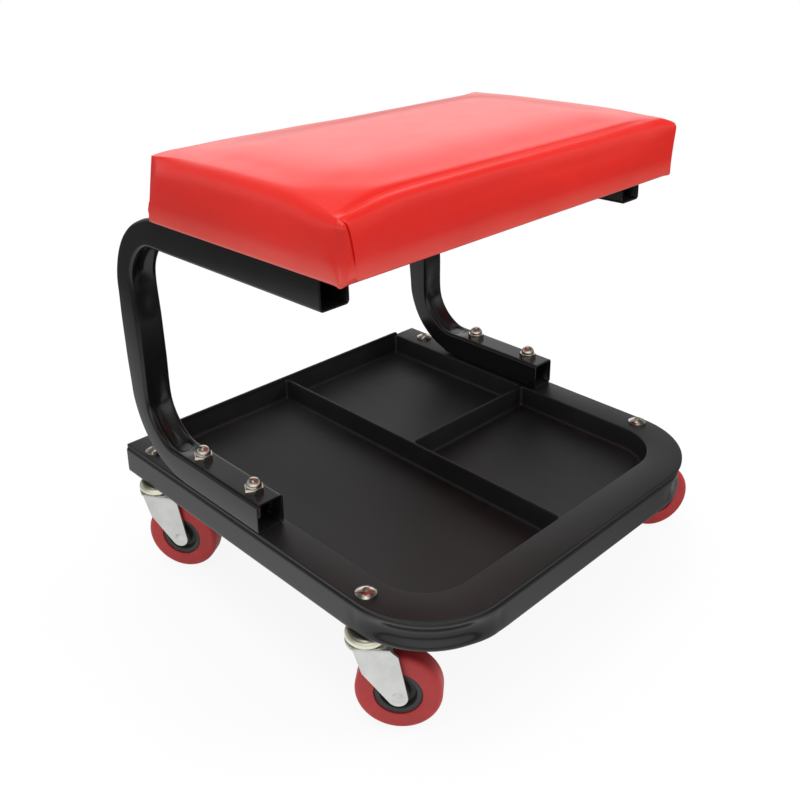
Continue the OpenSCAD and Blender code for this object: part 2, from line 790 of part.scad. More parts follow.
// Lock nut with its collar away from the fork
module axle_nut() {
    h = axle_d * lock_nut_share;
    hex_h = axle_d * lock_hex_share;
    flats = axle_d * across_flats_share;
    color(zinc) on_axle() translate([0, 0, -fork_w / 2]) mirror([0, 0, 1]) difference() {
        union() {
            intersection() {
                hex_prism(flats, hex_h);
                nut_turning(flats, hex_h);
            }
            rod(flats - h + hex_h, 0, h);
        }
        rod(axle_d + 2 * run_fit, -over, h + over);
    }
}

module sleeve() {
    color(zinc) on_axle() difference() {
        rod(sleeve_d, -sleeve_l / 2, sleeve_l / 2);
        rod(axle_d + 2 * run_fit, -sleeve_l, sleeve_l);
    }
}

module hub() {
    r = hub_d / 2;
    half = wheel_w / 2 - hub_step;
    bore_r = sleeve_d / 2 + run_fit;
    boss = sleeve_l / 2 - lay_fit;
    color(hub_grey) on_axle() rotate_extrude() {
        translate([r - hub_rim_t, -half]) square([hub_rim_t, 2 * half]);
        translate([bore_r, -hub_web_t / 2]) square([r - hub_rim_t / 2 - bore_r, hub_web_t]);
        translate([bore_r, -boss]) square([hub_boss_wall, 2 * boss]);
    }
}

module tyre() {
    inner = hub_d / 2 + run_fit;
    half = wheel_w / 2;
    shoulder = [wheel_r - shoulder_r, half - side_dish - shoulder_r];
    color(tread_red) on_axle() rotate_extrude() polygon(concat(
        [[inner, half], [inner, -half]],
        arc([shoulder.x, -shoulder.y], shoulder_r, 270, 360, SHOULDER_STEPS),
        arc(shoulder, shoulder_r, 0, 90, SHOULDER_STEPS)));
}

module caster_piece(name) {
    if (name == "housing") housing();
    if (name == "kingpin") kingpin();
    if (name == "balls") balls();
    if (name == "fork") fork();
    if (name == "axle") axle();
    if (name == "axle_nut") axle_nut();
    if (name == "sleeve") sleeve();
    if (name == "hub") hub();
    if (name == "tyre") tyre();
}

base_frame();
tray();
side_arm(-1);  // left_arm
side_arm(1);  // right_arm
seat_board();
seat_foam();
seat_cover();
cover_staples();
arm_bolts();
cap_nuts();
caster_bolts();
caster_nuts();
seat_bolts();
tee_nuts();
for (i = [0:len(CORNERS) - 1], piece = CASTER_PIECES)
    translate([corner_at[i].x, corner_at[i].y, 0]) rotate(headings[i]) caster_piece(piece);
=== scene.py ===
import json
import math

import bmesh
import bpy
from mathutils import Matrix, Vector, kdtree


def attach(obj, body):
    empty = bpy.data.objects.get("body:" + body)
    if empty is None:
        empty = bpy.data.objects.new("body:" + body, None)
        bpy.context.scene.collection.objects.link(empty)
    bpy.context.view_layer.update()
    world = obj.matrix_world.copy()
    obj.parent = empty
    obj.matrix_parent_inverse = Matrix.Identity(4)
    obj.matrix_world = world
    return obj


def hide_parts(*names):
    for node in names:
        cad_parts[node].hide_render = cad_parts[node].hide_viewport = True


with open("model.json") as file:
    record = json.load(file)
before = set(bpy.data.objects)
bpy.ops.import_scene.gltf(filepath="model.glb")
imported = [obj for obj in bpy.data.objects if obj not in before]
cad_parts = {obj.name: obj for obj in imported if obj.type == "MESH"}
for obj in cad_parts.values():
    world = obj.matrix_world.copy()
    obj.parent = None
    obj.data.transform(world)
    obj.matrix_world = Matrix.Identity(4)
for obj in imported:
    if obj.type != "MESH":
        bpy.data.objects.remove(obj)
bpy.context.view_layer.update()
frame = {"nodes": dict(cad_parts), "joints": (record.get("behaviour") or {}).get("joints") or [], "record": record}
nodes = frame["nodes"]
corners = ("front_left", "front_right", "back_left", "back_right")
print("frame loaded:", len(nodes), "nodes")


# Wraps a socket, so that sums on it add their Math nodes
class Wire:
    def __init__(self, graph, socket):
        self.graph, self.socket = graph, socket

    def sum(self, operation, *values):
        return self.graph.node("Math", {"operation": operation}, dict(enumerate(values)))

    def __add__(self, other):
        return self.sum("ADD", self, other)

    def __radd__(self, other):
        return self.sum("ADD", other, self)

    def __sub__(self, other):
        return self.sum("SUBTRACT", self, other)

    def __rsub__(self, other):
        return self.sum("SUBTRACT", other, self)

    def __mul__(self, other):
        return self.sum("MULTIPLY", self, other)

    def __rmul__(self, other):
        return self.sum("MULTIPLY", other, self)

    def most(self, other):
        return self.sum("MAXIMUM", self, other)


# A node tree, to which one method adds every node
class Graph:
    def __init__(self, tree):
        self.tree = tree

    # Settings come first, then the values or wires of the sockets
    def node(self, kind, settings=None, values=None, out=0):
        made = self.tree.nodes.new("ShaderNode" + kind)
        for name, value in (settings or {}).items():
            if name == "stops":
                while len(made.color_ramp.elements) < len(value):
                    made.color_ramp.elements.new(1)
                for element, (at, tone) in zip(made.color_ramp.elements, value):
                    element.position, element.color = at, (tone, tone, tone, 1)
            else:
                setattr(made, name, value)
        for name, value in (values or {}).items():
            if isinstance(value, Wire):
                self.tree.links.new(value.socket, made.inputs[name])
            else:
                made.inputs[name].default_value = value
        return Wire(self, made.outputs[out]) if len(made.outputs) else None

    # Mix of two numbers
    def toneOf(self, share, first, second):
        return self.node("Mix", None, {0: share, 2: first, 3: second})

    # Mix of two colours
    def blendOf(self, share, first, second):
        return self.node("Mix", {"data_type": "RGBA"}, {0: share, 6: first, 7: second}, 2)


# A material whose plain values sit on the shader, and whose varying ones come in by wires
class Finish(Graph):
    def __init__(self, name, colour, **plain):
        self.material = bpy.data.materials.new(name)
        self.material.use_nodes = True
        super().__init__(self.material.node_tree)
        self.shader = self.tree.nodes["Principled BSDF"]
        self.colour = colour
        self.shader.inputs["Base Color"].default_value = (*colour, 1)
        self.material.diffuse_color = (*colour, 1)
        for socket, value in plain.items():
            self.shader.inputs[socket.replace("_", " ")].default_value = value
        self.place = self.node("TexCoord", out="Object")

    def stretched(self, x, y, z):
        return self.node("Mapping", None, {"Vector": self.place, "Scale": (x, y, z)})

    def noise(self, scale, detail=3.0, rough=0.5, at=None):
        return self.node("TexNoise", None, {"Vector": at or self.place, "Scale": scale,
                                            "Detail": detail, "Roughness": rough})

    def cells(self, scale, feature="F1"):
        values = {"Vector": self.place, "Scale": scale}
        return self.node("TexVoronoi", {"feature": feature}, values, "Distance")

    def ramp(self, wire, *stops):
        return self.node("ValToRGB", {"stops": stops}, {"Fac": wire})

    def axis(self, name):
        return self.node("SeparateXYZ", None, {"Vector": self.place}, name)

    # The colour, between a darker and a lighter one
    def shaded(self, share, dark, light):
        low, high = ((*[min(1, c * by) for c in self.colour], 1) for by in (dark, light))
        return self.blendOf(share, low, high)

    def plug(self, socket, wire):
        self.tree.links.new(wire.socket, self.shader.inputs[socket])

    # Bump nodes in a row, each from a wire with its strength and distance
    def relief(self, *layers):
        last = {}
        for height, strength, distance in layers:
            made = self.node("Bump", None, {"Height": height, "Strength": strength,
                                            "Distance": distance, **last})
            last = {"Normal": made}
        self.plug("Normal", made)


vinyl = {
    "red": (0.70, 0.0145, 0.008), "coat": 0.3, "coatRough": 0.24,
    # Painted reflection of the pale floor low on the sides, as a paler colour by height above the seat's tilted
    # underside, in millimetres
    "dustAndSheen": (0.74, 0.26, 0.2), "paintedSheenHigh": 15.625, "paintedSheenLeast": 0.12, "paintedSheenClouds": 0.2,
    "underside": 336.9, "slope": 0.0262,
}


def vinylFinish():
    v = vinyl
    f = Finish("redVinyl", v["red"], Roughness=0.3, Specular_IOR_Level=0.5,
               Coat_Weight=v["coat"], Coat_Roughness=v["coatRough"])
    cloud = f.noise(9, 4, 0.6)
    red = f.shaded(f.ramp(cloud, (0.35, 0), (0.68, 1)), 0.94, 1.05)
    # Painted floor reflection: the vinyl turns paler towards the bottom of the sides, patchy by the cloud
    lift = f.axis("Z") + v["slope"] * f.axis("Y") - v["underside"] / 1000
    low = 1 - f.ramp(lift * (1000 / v["paintedSheenHigh"]), (0.02, 0), (0.95, 1))
    paintedSheen = low * (v["paintedSheenLeast"] + v["paintedSheenClouds"] * cloud)
    f.plug("Base Color", f.blendOf(paintedSheen, red, (*v["dustAndSheen"], 1)))
    f.plug("Roughness", 0.25 + 0.1 * f.noise(34, 4, 0.6))
    leather = f.cells(720, "SMOOTH_F1")
    f.relief((leather, 0.10, 0.00025), (f.noise(1500, 2), 0.07, 0.0002), (f.noise(26, 2), 0.05, 0.0012))
    return f.material


def paintFinish():
    f = Finish("blackPowderCoat", (0.0075, 0.0072, 0.007), Roughness=0.3, Specular_IOR_Level=0.5)
    f.plug("Base Color", f.shaded(f.ramp(f.noise(14, 5, 0.6), (0.35, 0), (0.7, 1)), 0.86, 1.2))
    f.plug("Roughness", 0.15 + 0.1 * f.noise(45, 4, 0.6))
    f.relief((f.noise(520, 2, 0.4), 0.08, 0.0003), (f.noise(2600, 1), 0.05, 0.0001))
    return f.material


def trayFinish():
    f = Finish("mouldedTray", (0.0085, 0.0088, 0.0095), Roughness=0.46, Specular_IOR_Level=0.5)
    dustAndSheen = f.ramp(f.noise(11, 6, 0.65), (0.42, 0), (0.75, 1))
    f.plug("Base Color", f.shaded(dustAndSheen, 0.85, 1.5))
    scuffs = f.noise(60, 4, 0.6, f.stretched(1, 0.12, 1))
    f.plug("Roughness", 0.38 + 0.1 * dustAndSheen + 0.08 * scuffs)
    f.relief((f.cells(1300), 0.16, 0.0002), (f.noise(3200, 2), 0.12, 0.0001))
    return f.material


def plywoodFinish():
    f = Finish("rawPlywood", (0.55, 0.36, 0.19), Roughness=0.7, Specular_IOR_Level=0.3)
    grain = f.noise(38, 6, 0.65, f.stretched(1, 9, 9))
    fine = f.noise(160, 4, 0.6, f.stretched(0.6, 10, 10))
    rings = f.node("TexWave", {"wave_type": "BANDS", "bands_direction": "Z"},
                   {"Vector": f.place, "Scale": 170.0, "Distortion": 0.6, "Detail": 2.0}, "Fac")
    mixed = 0.5 * f.ramp(grain, (0.3, 0), (0.7, 1)) + 0.25 * fine + 0.25 * rings
    f.plug("Base Color", f.shaded(mixed, 0.6, 1.25))
    f.relief((grain + fine, 0.25, 0.0004))
    return f.material


# Plated steel, brushed along its height
def plateFinish(name, colour, rough, streak, spots=0.0):
    f = Finish(name, colour, Metallic=1.0, Roughness=rough)
    cloud = f.noise(75, 4, 0.6)
    f.plug("Base Color", f.shaded(f.ramp(cloud, (0.35, 0), (0.7, 1)), 0.9, 1.05))
    brushed = f.noise(420, 3, 0.6, f.stretched(1, 1, 0.2))
    f.plug("Roughness", rough + streak * brushed + spots * cloud)
    f.relief((brushed, 0.05, 0.0001), (f.noise(240, 2), 0.06, 0.0003))
    return f.material


def plasticFinish(name, colour, rough, grain, spread=1.15):
    f = Finish(name, colour, Roughness=rough, Specular_IOR_Level=0.42)
    f.plug("Base Color", f.shaded(f.ramp(f.noise(48, 5, 0.6), (0.35, 0), (0.7, 1)), 2 - spread, spread))
    f.plug("Roughness", rough - 0.06 + 0.14 * f.noise(120, 4, 0.6))
    f.relief((f.noise(1400, 2), grain, 0.0002), (f.noise(180, 2), grain / 2, 0.0003))
    return f.material


finishes = {
    "seat_vinyl": vinylFinish(),
    "frame_paint": paintFinish(),
    "tray_plastic": trayFinish(),
    "plywood": plywoodFinish(),
    "foam": plasticFinish("creamFoam", (0.8, 0.7, 0.45), 0.9, 0.4),
    "nickel": plateFinish("warmNickel", (0.74, 0.68, 0.6), 0.12, 0.06),
    "zinc": plateFinish("brightZinc", (0.77, 0.78, 0.755), 0.3, 0.1, 0.08),
    "yellow_zinc": plateFinish("yellowZinc", (0.93, 0.9, 0.72), 0.26, 0.08),
    "bearing_steel": plateFinish("bearingSteel", (0.62, 0.62, 0.64), 0.14, 0.05),
    "hub_plastic": plasticFinish("hubPlastic", (0.033, 0.035, 0.033), 0.5, 0.12, 1.2),
    "wheel_tread": plasticFinish("redTread", (0.42, 0.028, 0.028), 0.46, 0.08, 1.08),
}
for part in frame["record"]["subparts"]:
    target = nodes[part["node"]]
    target.data.materials.clear()
    target.data.materials.append(finishes[part["material_slot"]])
print("finishes made:", len(finishes))


tiny = 1e-6  # gaps below this count as none, in the units of the place where it is used


def smooth(t):
    t = min(1, max(0, t))
    return t * t * (3 - 2 * t)


def mix(a, b, t):
    return a + (b - a) * t


def onCircle(r, angle):
    return r * math.cos(angle), r * math.sin(angle)


def shifted(at, way, by):
    return at[0] + way[0] * by, at[1] + way[1] * by


# A mesh in metres from points in millimetres, and the build that edits it
def openMesh(name, points, faces):
    mesh = bpy.data.meshes.new(name)
    mesh.from_pydata([tuple(c / 1000 for c in p) for p in points], [], faces)
    build = bmesh.new()
    build.from_mesh(mesh)
    return mesh, build


def closeMesh(mesh, build):
    bmesh.ops.recalc_face_normals(build, faces=build.faces)
    build.to_mesh(mesh)
    build.free()


# Ends a build as a piece of the scene, which rides on a body. Edges past the sharp angle stay sharp
def placePiece(name, mesh, build, slot, body, sharp):
    bmesh.ops.remove_doubles(build, verts=build.verts, dist=tiny)
    closeMesh(mesh, build)
    mesh.shade_smooth()
    mesh.set_sharp_from_angle(angle=math.radians(sharp))
    piece = bpy.data.objects.new(name, mesh)
    bpy.context.scene.collection.objects.link(piece)
    mesh.materials.append(finishes[slot])
    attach(piece, body)
    return piece


# Makes a piece from points in millimetres, in the frame of the CAD
def makePiece(name, points, faces, slot, body, sharp):
    return placePiece(name, *openMesh(name, points, faces), slot, body, sharp)


# Faces between loops of equal length, the first and last closed if asked
def skinFaces(loopCount, count, closed=False):
    faces = []
    for k in range(loopCount - 1):
        for i in range(count):
            j = (i + 1) % count
            a, b = k * count, (k + 1) * count
            faces.append((a + i, a + j, b + j, b + i))
    if closed:
        faces.append(tuple(range(count)))
        faces.append(tuple(range((loopCount - 1) * count, loopCount * count)))
    return faces


tube = {
    "side": 25.0, "wall": 1.5, "round": 3.0, "endRound": 0.35, "endCorner": 0.3, "boreDepth": 120.0,
    "sharp": 50,
    # In a bend: the inner wall's crease, the outer wall's dip with its power, and the corners' pull
    "crease": 4.2, "sunk": 3.4, "sunkPower": 1.4, "pull": 2.0,
    # Share of these at the ends of a bend, and how far it runs out. The posts between two bends keep more
    "endShare": 0.16, "runOut": 9.0, "longShare": 0.55, "longOut": 30.0, "bendRise": 0.26,
    "cornerSteps": 6, "wallSteps": 14, "bendSteps": 52,
    "marks": (1, 2.5, 5, 9, 13, 17, 21, 25, 29, 33, 60),
}


# Section of a tube: a across the bend's plane, b away from its centre
def tubeSection(half, r, share):
    q = half - r
    pull = tube["pull"] * share
    points = []
    for k, (sa, sb) in enumerate(((1, 1), (-1, 1), (-1, -1), (1, -1))):
        centre = (sa * q, sb * (q - pull))
        for i in range(tube["cornerSteps"] + 1):
            angle = math.pi / 2 * (k + i / tube["cornerSteps"])
            points.append(shifted(centre, onCircle(r, angle), 1))
        if k in (0, 2):
            way = -1 if k == 0 else 1
            depth = (tube["sunk"] if k == 0 else tube["crease"]) * share
            for i in range(1, tube["wallSteps"]):
                t = 2 * i / tube["wallSteps"] - 1
                sunk = depth * math.cos(math.pi / 2 * t) ** tube["sunkPower"]
                points.append((way * t * q, sb * (half - pull - sunk)))
    return points


# Path of straight runs and arcs as (position, outward direction, share of the bending)
def bentPath(parts, long=()):
    path = []

    def restOf(k):
        return (tube["longShare"], tube["longOut"]) if k in long else (tube["endShare"], tube["runOut"])

    for k, part in enumerate(parts):
        if part[0] == "line":
            start, end, out = part[1:]
            length = math.dist(start, end)
            most, reach = restOf(k)
            marks = {d for d in tube["marks"] if d < length / 2}
            for d in sorted({0, length} | marks | {length - d for d in marks}):
                t = d / length
                near = min(d if k > 0 else math.inf, length - d if k < len(parts) - 1 else math.inf)
                share = most * (1 - smooth(near / reach))
                path.append(((mix(start[0], end[0], t), mix(start[1], end[1], t)), out, share))
        else:
            centre, r, first, last = part[1:]
            for i in range(1, tube["bendSteps"]):
                t = i / tube["bendSteps"]
                out = onCircle(1, mix(first, last, t))
                least = restOf(k - 1 if t < 0.5 else k + 1)[0]
                share = mix(least, 1, smooth(min(t, 1 - t) / tube["bendRise"]))
                path.append((shifted(centre, out, r), out, share))
    return path


def tubePiece(name, path, place, node):
    half, r, wall, soft = tube["side"] / 2, tube["round"], tube["wall"], tube["endRound"]
    slight = soft * tube["endCorner"]
    # An open end, from deep in the bore to the outside: distance along, half the width, corner radius
    mouth = ((tube["boreDepth"], half - wall, r - wall), (soft, half - wall, r - wall),
             (0, half - wall + soft, r - wall + soft), (0, half - soft, r - soft), (slight, half - slight, r))
    inward = []
    for end, after in ((path[0], path[1]), (path[-1], path[-2])):
        step = (after[0][0] - end[0][0], after[0][1] - end[0][1])
        inward.append((step[0] / math.hypot(*step), step[1] / math.hypot(*step)))
    rings = [(*path[0][:2], 0, size, corner, along, inward[0]) for along, size, corner in mouth]
    for k, (at, out, share) in enumerate(path):
        along = soft if k in (0, len(path) - 1) else 0
        rings.append((at, out, share, half, r, along, inward[k > 0]))
    rings += [(*path[-1][:2], 0, size, corner, along, inward[1]) for along, size, corner in reversed(mouth)]
    points = []
    for at, out, share, size, corner, along, away in rings:
        for a, b in tubeSection(size, corner, share):
            points.append(place(*shifted(shifted(at, out, b), away, along), a))
    faces = skinFaces(len(rings), len(points) // len(rings), True)
    piece = makePiece(name, points, faces, "frame_paint", "chassis", tube["sharp"])
    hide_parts(node)


base = {"width": 360.0, "depth": 370.0, "railLow": 81.0, "bendR": 57.5}


def baseTube():
    half = tube["side"] / 2
    railX = base["width"] / 2 - half
    frontY, backY = -base["depth"] / 2, base["depth"] / 2
    bendX, bendY = railX - base["bendR"], frontY + half + base["bendR"]
    parts = [
        ("line", (-railX, backY), (-railX, bendY), (-1, 0)),
        ("arc", (-bendX, bendY), base["bendR"], math.pi, 1.5 * math.pi),
        ("line", (-bendX, frontY + half), (bendX, frontY + half), (0, -1)),
        ("arc", (bendX, bendY), base["bendR"], 1.5 * math.pi, 2 * math.pi),
        ("line", (railX, bendY), (railX, backY), (1, 0)),
    ]
    z = base["railLow"] + half
    tubePiece("baseTube", bentPath(parts), lambda x, y, a: (x, y, z + a), "base_frame")


arm = {"lowFront": -7.0, "lowRun": 105.0, "deck": 109.0, "bendR": 54.5, "lean": 2.9,
       "highFront": -89.0, "seatZ": 339.2, "tilt": 1.5}


def armTube(side, name, node):
    half = tube["side"] / 2
    lean, tilt = math.radians(arm["lean"]), math.radians(arm["tilt"])
    r = arm["bendR"]
    low = (arm["lowFront"] + arm["lowRun"], arm["deck"] + half + r)
    post, up = (math.sin(lean), math.cos(lean)), (math.sin(tilt), math.cos(tilt))
    front = shifted((arm["highFront"], arm["seatZ"]), up, -half)
    run = ((front[0] - low[0]) * up[0] + (front[1] - low[1]) * up[1] - r) / (post[0] * up[0] + post[1] * up[1])
    high = shifted(low, post, run)
    out = (post[1], -post[0])
    parts = [
        ("line", (arm["lowFront"], low[1] - r), (low[0], low[1] - r), (0, -1)),
        ("arc", low, r, -math.pi / 2, -lean),
        ("line", shifted(low, out, r), shifted(high, out, r), out),
        ("arc", high, r, -lean, math.pi / 2 - tilt),
        ("line", shifted(high, up, r), front, up),
    ]
    x = side * (base["width"] / 2 - half)
    tubePiece(name, bentPath(parts, (2,)), lambda y, z, a: (x + a, y, z), node)


baseTube()
armTube(-1, "leftArmTube", "left_arm")
armTube(1, "rightArmTube", "right_arm")
print("tubes bent")


tray = {
    "deck": 109.0, "flange": 3.0, "step": 0.8, "frontFlange": 31.0, "deep": 20.0, "wall": 2.5, "floor": 2.5,
    "clear": 0.5, "draft": 0.8, "fillet": 3.0, "frontR": 42.0, "backR": 1.0, "pocketR": 3.5, "leastR": 0.05,
    "mouthR": 1.1, "edgeR": 0.9, "burr": 0.3, "dividerY": 8.0, "rim": 3.5, "rimEdge": 0.7, "rimSunk": 1.0,
    "pocketSteps": 12, "deckSteps": 24, "edgeSteps": 4, "filletSteps": 6, "rimSteps": 8, "sharp": 25,
}


# Sine and cosine at even steps of a quarter turn
def quarterTurn(steps):
    turns = [math.pi / 2 * i / steps for i in range(steps + 1)]
    return [(math.sin(turn), math.cos(turn)) for turn in turns]


# Loop round a box with rounded corners, drawn in by some distance, at one height
def boxLoop(box, by, z, steps):
    (lowX, lowY), (highX, highY), radii = box
    loop = []
    for k, (x, y, sx, sy) in enumerate(((lowX, lowY, 1, 1), (highX, lowY, -1, 1),
                                        (highX, highY, -1, -1), (lowX, highY, 1, -1))):
        r = max(radii[k] - by, tray["leastR"])
        centre = (x + sx * by + sx * r, y + sy * by + sy * r)
        for i in range(steps + 1):
            loop.append((*shifted(centre, onCircle(r, math.pi + math.pi / 2 * (k + i / steps)), 1), z))
    return loop


# Loops down the fillet between walls with draft and a floor
def filletLoops(box, floorZ):
    t = tray
    return [boxLoop(box, t["draft"] + t["fillet"] * (1 - c), floorZ + t["fillet"] * (1 - s), t["pocketSteps"])
            for s, c in quarterTurn(t["filletSteps"])]


# Loops down a pocket, from its rolled mouth
def pocketLoops(box):
    t = tray
    mouth = [boxLoop(box, -t["mouthR"] * (1 - s), t["deck"] - t["mouthR"] * (1 - c), t["pocketSteps"])
             for s, c in quarterTurn(t["edgeSteps"])]
    return mouth + filletLoops(box, t["deck"] - t["deep"])


# Loops from the deck's rounded top edge to the flange's underside
def deckLoops(box):
    t = tray
    under = t["deck"] - t["flange"]
    edge = [boxLoop(box, t["edgeR"] * (1 - c), t["deck"] - t["edgeR"] * (1 - s), t["deckSteps"])
            for s, c in quarterTurn(t["edgeSteps"])]
    return [*reversed(edge), boxLoop(box, 0, under + t["burr"], t["deckSteps"]),
            boxLoop(box, t["burr"], under, t["deckSteps"])]


# Adds nested loops to the build and returns its vertices, loop after loop
def addLoops(build, loops, close=False):
    rows = [[build.verts.new([c / 1000 for c in p]) for p in loop] for loop in loops]
    count = len(rows[0])
    for first, second in zip(rows, rows[1:]):
        for i in range(count):
            j = (i + 1) % count
            build.faces.new((first[i], first[j], second[j], second[i]))
    if close:
        build.faces.new(rows[-1])
    return rows


def loopEdges(build, row):
    return [build.edges.get(pair) or build.edges.new(pair) for pair in zip(row, row[1:] + row[:1])]


# Back rim with rounded ends and a rounded top
def addRim(build, rimX, backY):
    t = tray
    frontY, soft, foot = backY - t["wall"], t["rimEdge"], t["deck"] - t["rimSunk"]
    loops = []
    for y, drop in ((backY, soft), (backY - soft, 0), (frontY + soft, 0), (frontY, soft)):
        loop = [(-rimX, y, foot)]
        for side, angles in ((-1, (180, 90)), (1, (90, 0))):
            for i in range(t["rimSteps"] + 1):
                dx, dz = onCircle(t["rim"] - drop, math.radians(mix(*angles, i / t["rimSteps"])))
                loop.append((side * (rimX - t["rim"]) + dx, y, t["deck"] + dz))
        loops.append(loop + [(rimX, y, foot)])
    rows = addLoops(build, loops, True)
    build.faces.new(rows[0])


def trayPiece():
    t = tray
    halfX, frontY, backY = base["width"] / 2, -base["depth"] / 2, base["depth"] / 2
    pocketX = halfX - tube["side"] - t["clear"] - t["wall"]
    pocketFront, pocketBack = frontY + t["frontFlange"], backY - t["wall"]
    panX, divide = pocketX + t["wall"], t["wall"] / 2
    big, small, panR = t["frontR"], t["pocketR"], t["frontR"] + t["wall"]
    pockets = [
        ((-pocketX, pocketFront), (-divide, pocketBack), [big, small, small, small]),
        ((divide, pocketFront), (pocketX, t["dividerY"] - divide), [small, big, small, small]),
        ((divide, t["dividerY"] + divide), (pocketX, pocketBack), [small] * 4),
    ]
    deckX, deckR = halfX - t["step"], base["bendR"] + tube["side"] / 2 - t["step"]
    deck = ((-deckX, frontY + t["step"]), (deckX, backY), [deckR, deckR, t["backR"], t["backR"]])
    pan = ((-panX, pocketFront - t["wall"]), (panX, backY), [panR, panR, small, small])
    build = bmesh.new()
    mouths = [addLoops(build, pocketLoops(box), True)[0] for box in pockets]
    deckRows = addLoops(build, deckLoops(deck))
    panLoops = [boxLoop(pan, 0, t["deck"] - t["flange"], t["pocketSteps"])]
    panLoops += filletLoops(pan, t["deck"] - t["deep"] - t["floor"])
    panTop = addLoops(build, panLoops, True)[0]
    for outer, inner in ((deckRows[0], mouths), (deckRows[-1], [panTop])):
        edges = loopEdges(build, outer)
        for row in inner:
            edges += loopEdges(build, row)
        bmesh.ops.triangle_fill(build, use_beauty=True, edges=edges)
    addRim(build, panX, backY)
    mesh = bpy.data.meshes.new("trayPan")
    piece = placePiece("trayPan", mesh, build, "tray_plastic", "chassis", t["sharp"])
    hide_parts("tray")


trayPiece()
print("tray moulded")


wheel = {
    "r": 31.75, "wide": 19.0, "shoulder": 4.2, "shoulderSteps": 9, "dish": 0.5, "fit": 0.06, "steps": 96,
    "tyreSharp": 35, "hubSharp": 30,
    # Tyre: its lip as (inside the face, out from the hub), its flank's end and the mould's parting line
    "lip": ((0.5, 0), (0.15, 0.12), (0, 0.6), (0.1, 3)), "flank": (0.6, 3.0),
    "parting": ((0.9, 0), (0.35, 0.02), (0.12, 0)),
    "hubR": 17.7, "hubStep": 1.0, "rimT": 4.4, "web": 7.0, "bore": 5.05, "bossR": 8.0, "bossHalf": 10.7,
    # Hub's rounded places as (along the axle, away from it), from the edges that they round
    "boreEdge": 0.3, "bossEdge": 0.6, "bossFoot": ((1.2, 0.3), (0.3, 0.9), (0, 1.8)),
    "rimFoot": ((0, 2.2), (0.4, 1.0), (1.4, 0.35)),
    "rimLip": ((1.2, 0), (0.5, 0.15), (0.1, 0.6), (0, 1.1)), "rimEdge": ((0, 0.7), (0.2, 0.2), (0.7, 0)),
}


# Turned piece about a wheel's axle: profile points are (along the axle, away from it)
def turnedPiece(name, profile, joint, slot, body, sharp):
    centre = Vector(joint["pos_m"]) * 1000
    axis = Vector(joint["axis"]).normalized()
    up = Vector((0, 0, 1))
    side = axis.cross(up)
    points = []
    for i in range(wheel["steps"]):
        c, s = onCircle(1, 2 * math.pi * i / wheel["steps"])
        for along, away in profile:
            points.append(tuple(centre + axis * along + (up * c + side * s) * away))
    count, faces = len(profile), []
    for i in range(wheel["steps"]):
        j = (i + 1) % wheel["steps"]
        for k in range(count):
            n = (k + 1) % count
            faces.append((i * count + k, i * count + n, j * count + n, j * count + k))
    return makePiece(name, points, faces, slot, body, sharp)


def mirrored(half):
    return [(-along, away) for along, away in reversed(half)]


def tyreProfile():
    w = wheel
    half, inner = w["wide"] / 2, w["hubR"] + w["fit"]
    bendAt, bendOut = half - w["dish"] - w["shoulder"], w["r"] - w["shoulder"]
    dish, drop = w["flank"]
    turns = [math.radians(90 * i / w["shoulderSteps"]) for i in range(w["shoulderSteps"] + 1)]
    one = ([(half - a, inner + b) for a, b in w["lip"]] + [(half - w["dish"] * dish, bendOut - drop)]
           + [shifted((bendAt, bendOut), onCircle(w["shoulder"], turn), 1) for turn in turns]
           + [(a, w["r"] - b) for a, b in w["parting"]])
    return one + mirrored(one)


def hubProfile():
    w = wheel
    face, well = w["wide"] / 2 - w["hubStep"], w["web"] / 2
    r, rim, boss, end = w["hubR"], w["hubR"] - w["rimT"], w["bossR"], w["bossHalf"]
    one = ([(end - w["boreEdge"], w["bore"]), (end, w["bore"] + w["boreEdge"])]
           + [(end, boss - w["bossEdge"]), (end - w["bossEdge"], boss)]
           + [(well + a, boss + b) for a, b in w["bossFoot"]] + [(well + a, rim - b) for a, b in w["rimFoot"]]
           + [(face - a, rim + b) for a, b in w["rimLip"]] + [(face - a, r - b) for a, b in w["rimEdge"]])
    return [(0, w["bore"])] + one + mirrored(one)


def wheelPieces(corner, joint):
    body = corner + "_wheel"
    tyre = turnedPiece(corner + "Tyre", tyreProfile(), joint, "wheel_tread", body, wheel["tyreSharp"])
    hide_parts(corner + "_tyre")
    hub = turnedPiece(corner + "Hub", hubProfile(), joint, "hub_plastic", body, wheel["hubSharp"])
    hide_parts(corner + "_hub")


joints = {j["name"]: j for j in frame["joints"]}
for corner in corners:
    wheelPieces(corner, joints[corner + "_wheel_roll"])
print("wheels turned")


